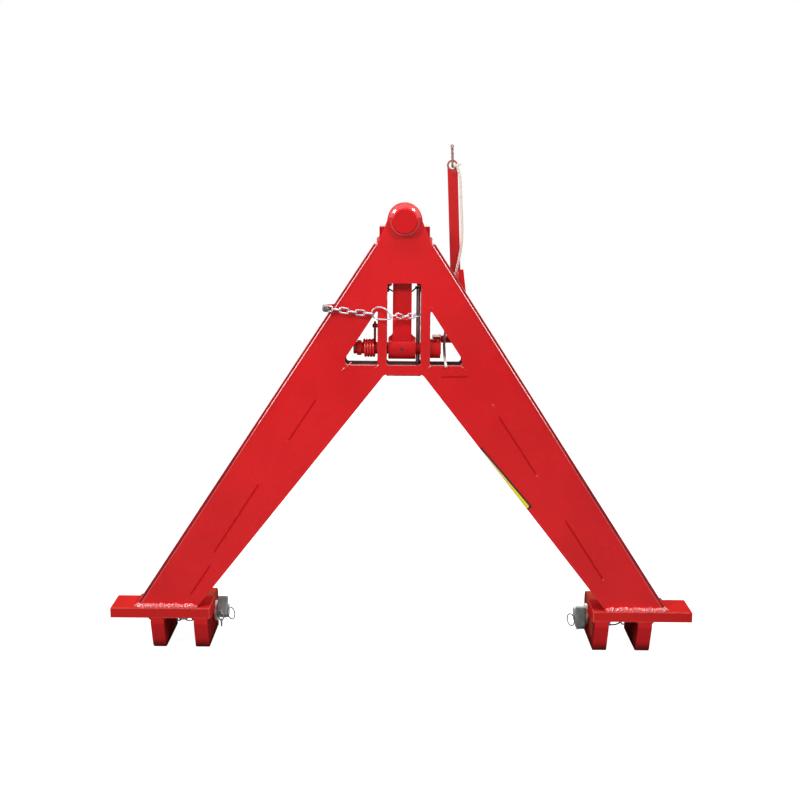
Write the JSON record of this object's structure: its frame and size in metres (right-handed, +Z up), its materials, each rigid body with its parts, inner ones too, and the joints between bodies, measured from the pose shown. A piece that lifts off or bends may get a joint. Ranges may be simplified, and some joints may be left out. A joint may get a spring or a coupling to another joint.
{
  "type": "hitch triangle",
  "caption": "Welded A-shaped box-section hitch triangle with a sprung latch, hand lever, safety pin on a chain, apex boss and clevis feet with link pins.",
  "frame": {"origin": "on the ground plane under the middle of the object's box; the ground is the flat underside of the clevis ears", "axes": "+X to the viewer's right across the legs, +Z up, +Y rearwards, away from the coupling face; the front plate's front face is at Y -0.067"},
  "size_m": [1.138, 0.166, 0.9839],
  "materials": {
    "red_paint": "gloss red enamel over welded steel",
    "bare_steel": "worn bare steel",
    "zinc_plate": "dull zinc plating",
    "dark_steel": "blackened steel",
    "bronze": "plain bearing bronze",
    "rope": "twisted cream rope with dark flecks",
    "black_cord": "matt black cord",
    "lanyard": "plastic-coated wire rope"
  },
  "bodies": {
    "frame": {"apex_boss": "red_paint", "chain_bolt": "zinc_plate", "chain_lug": "red_paint", "crotch_plate": "red_paint", "ear_eyes": "zinc_plate", "front_plate": "red_paint", "guard_plate": "red_paint", "left_base_bar": "red_paint", "left_ear_chain": "zinc_plate", "left_inner_ear": "red_paint", "left_inner_wall": "red_paint", "left_leg_web": "red_paint", "left_outer_ear": "red_paint", "left_outer_wall": "red_paint", "left_strut_plate": "red_paint", "left_top_lug": "red_paint", "pin_eye": "bare_steel", "pin_tether": "black_cord", "rear_plate": "red_paint", "right_base_bar": "red_paint", "right_inner_ear": "red_paint", "right_inner_wall": "red_paint", "right_leg_web": "red_paint", "right_outer_ear": "red_paint", "right_outer_wall": "red_paint", "right_strut_plate": "red_paint", "right_top_lug": "red_paint", "right_wire": "lanyard", "safety_chain": "zinc_plate", "shaft_bushes": "bronze", "short_chain": "zinc_plate", "sill_plate": "red_paint", "spring_stop": "red_paint", "torsion_spring": "red_paint", "wire_hoop": "zinc_plate"},
    "latch_unit": {"latch": "red_paint", "grease_nipple": "zinc_plate", "latch_shaft": "red_paint", "shaft_collar": "red_paint", "lever_hub": "red_paint", "set_screw": "dark_steel", "lever_arm": "red_paint", "release_lever": "red_paint", "eye_loop": "rope", "pull_rope": "rope", "tether_band": "black_cord"},
    "safety_pin_body": {"safety_pin": "bare_steel"},
    "left_pin": {"left_link_pin": "bare_steel", "left_pin_washer": "bare_steel"},
    "left_linch": {"left_linchpin": "zinc_plate", "left_linch_chain": "zinc_plate"},
    "left_ring": {"left_linchpin_ring": "bare_steel"},
    "right_pin": {"right_link_pin": "bare_steel", "right_pin_washer": "bare_steel"},
    "right_linch": {"right_linchpin": "zinc_plate", "right_linch_wire": "lanyard"},
    "right_ring": {"right_linchpin_ring": "bare_steel"}
  },
  "joints": [
    {"name": "latch_hinge", "type": "hinge", "parent": "frame", "child": "latch_unit", "pos_m": [0, -0.039, 0.6], "axis": [-1, 0, 0], "range_deg": [0, 22], "stiffness_Nm_per_rad": 16, "springref_deg": -20.05},
    {"name": "safety_pin_slide", "type": "slide", "parent": "frame", "child": "safety_pin_body", "axis": [0, 0, 1], "range_m": [0, 0.05]},
    {"name": "left_pin_turn", "type": "hinge", "parent": "frame", "child": "left_pin", "pos_m": [-0.435, 0.033, 0.048], "axis": [1, 0, 0], "range_deg": [-20, 20]},
    {"name": "left_linchpin_slide", "type": "slide", "parent": "left_pin", "child": "left_linch", "axis": [0, -0.7431, 0.6691], "range_m": [0, 0.05]},
    {"name": "left_ring_fold", "type": "hinge", "parent": "left_linch", "child": "left_ring", "pos_m": [-0.3505, 0.01122, 0.05415], "axis": [0, -0.6691, -0.7431], "range_deg": [0, 140]},
    {"name": "right_pin_turn", "type": "hinge", "parent": "frame", "child": "right_pin", "pos_m": [0.435, 0.033, 0.048], "axis": [1, 0, 0], "range_deg": [-20, 20]},
    {"name": "right_linchpin_slide", "type": "slide", "parent": "right_pin", "child": "right_linch", "axis": [0, -1, 0], "range_m": [0, 0.05]},
    {"name": "right_ring_fold", "type": "hinge", "parent": "right_linch", "child": "right_ring", "pos_m": [0.3505, 0.0127, 0.038], "axis": [0, 0, 1], "range_deg": [0, 140]}
  ]
}
